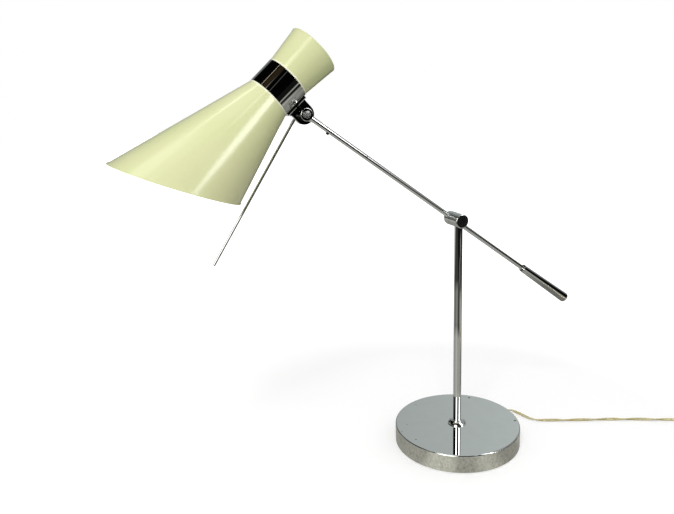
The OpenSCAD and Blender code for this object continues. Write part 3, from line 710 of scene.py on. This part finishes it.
def table_light(m, x, y, away):
    """Light that the table sends to the plating, from its patches and zones."""
    turn = heading(m, x, y)
    layers = [(x, row[:2], row[4], y, row[2:4], row[4], row[5]) for row in FLOOR_PATCHES]
    layers += [(turn, row[:2], row[2], away, row[3:5], row[5], row[6]) for row in FLOOR_ZONES]
    table = TABLE_DARK
    for first, ends, edge, second, other_ends, other_edge, level in layers:
        mask = m.within(first, *ends, edge)
        mask = m.math("MULTIPLY", mask, m.within(second, *other_ends, other_edge))
        table = m.math("ADD", table, m.math("MULTIPLY", mask, m.math("SUBTRACT", level, table)))
    return table


def floor_material():
    """White with the shadows for the camera, a speckled grey table for the plating."""
    m = Finish("floor")
    m.set(Roughness=0.9, Specular_IOR_Level=0.0, Emission_Color=WHITE)
    x, y, _ = m.axes(m.point())
    square = m.math("ADD", m.math("MULTIPLY", x, x), m.math("MULTIPLY", y, y))
    away = m.math("POWER", square, 0.5)
    grain = m.range(m.noise(260, 5, 0.7), 0.35, 0.65, 0.88, 1.08)
    mirrored = m.add("ShaderNodeEmission")
    tint = m.mix(m.noise(8, 2), (1.0, 1.0, 0.96, 1), (1.0, 0.99, 0.90, 1))
    m.link(tint, mirrored.inputs["Color"])
    m.link(m.math("MULTIPLY", table_light(m, x, y, away), grain), mirrored.inputs["Strength"])
    seen = m.rays(*SHOWS_WHITE)
    m.colour(m.mix(seen, FLOOR_BOUNCE, FLOOR_SEEN))
    glow = m.range(away, GLOW_FROM, GLOW_TO, GLOW_LEAST, 1.0)
    m.link(m.math("MULTIPLY", seen, glow), m.shader.inputs["Emission Strength"])
    both = m.add("ShaderNodeMixShader")
    m.link(m.rays("Is Glossy Ray"), both.inputs[0])
    m.link(m.shader.outputs[0], both.inputs[1])
    m.link(mirrored.outputs[0], both.inputs[2])
    m.link(both.outputs[0], m.output.inputs["Surface"])
    return m.material


def make_floor():
    h = FLOOR_SIZE / 2
    floor = mesh_object("floor", [(-h, -h, 0), (h, -h, 0), (h, h, 0), (-h, h, 0)], [(0, 1, 2, 3)])
    floor.data.materials.append(floor_material())


def make_world():
    """White for the camera, the room for the plating, an even fill for all other light."""
    world = bpy.data.worlds.new("studio")
    bpy.context.scene.world = world
    world.use_nodes = True
    m = Nodes(world.node_tree)
    output = m.add("ShaderNodeOutputWorld")
    x, y, z = m.axes(m.point("Generated"))
    turn = heading(m, x, y)
    rise = m.add("ShaderNodeMath", operation="ARCSINE")
    m.link(z, rise.inputs[0])
    elevation = m.math("MULTIPLY", rise.outputs[0], DEGREES)
    room = WALL + (1,)
    for a0, a1, side, e0, e1, end, light in ROOM_PATCHES:
        mask = m.math("MULTIPLY", m.within(turn, a0, a1, side), m.within(elevation, e0, e1, end))
        room = m.mix(mask, room, light + (1,))
    mirrored = m.add("ShaderNodeBackground", Strength=1.0)
    m.link(room, mirrored.inputs[0])
    fill = m.add("ShaderNodeBackground", Color=WHITE, Strength=FILL_LIGHT)
    white = m.add("ShaderNodeBackground", Color=WHITE, Strength=1.0)
    others = m.add("ShaderNodeMixShader")
    m.link(m.rays("Is Glossy Ray"), others.inputs[0])
    m.link(fill.outputs[0], others.inputs[1])
    m.link(mirrored.outputs[0], others.inputs[2])
    final = m.add("ShaderNodeMixShader")
    m.link(m.rays(*SHOWS_WHITE), final.inputs[0])
    m.link(others.outputs[0], final.inputs[1])
    m.link(white.outputs[0], final.inputs[2])
    m.link(final.outputs[0], output.inputs["Surface"])


SOFTBOX_AIM = Vector((-0.1, 0.0, 0.3))
SOFTBOX_DISTANCE = 2.0


def softbox(name, azimuth, elevation, size, power):
    """A square light that faces the desk lamp and doesn't show in the plating."""
    a, e = math.radians(azimuth), math.radians(elevation)
    out = Vector((math.sin(a) * math.cos(e), -math.cos(a) * math.cos(e), math.sin(e)))
    data = bpy.data.lights.new(name, "AREA")
    data.size = size
    data.energy = power
    light = bpy.data.objects.new(name, data)
    turn = (-out).to_track_quat("-Z", "Y").to_matrix().to_4x4()
    light.matrix_world = Matrix.Translation(SOFTBOX_AIM + SOFTBOX_DISTANCE * out) @ turn
    light.visible_glossy = False
    bpy.context.scene.collection.objects.link(light)


make_floor()
make_world()
softbox("key", azimuth=-34, elevation=42, size=0.8, power=19)
softbox("fill", azimuth=116, elevation=2, size=1.2, power=4.5)

bpy.context.scene.view_settings.view_transform = "Standard"
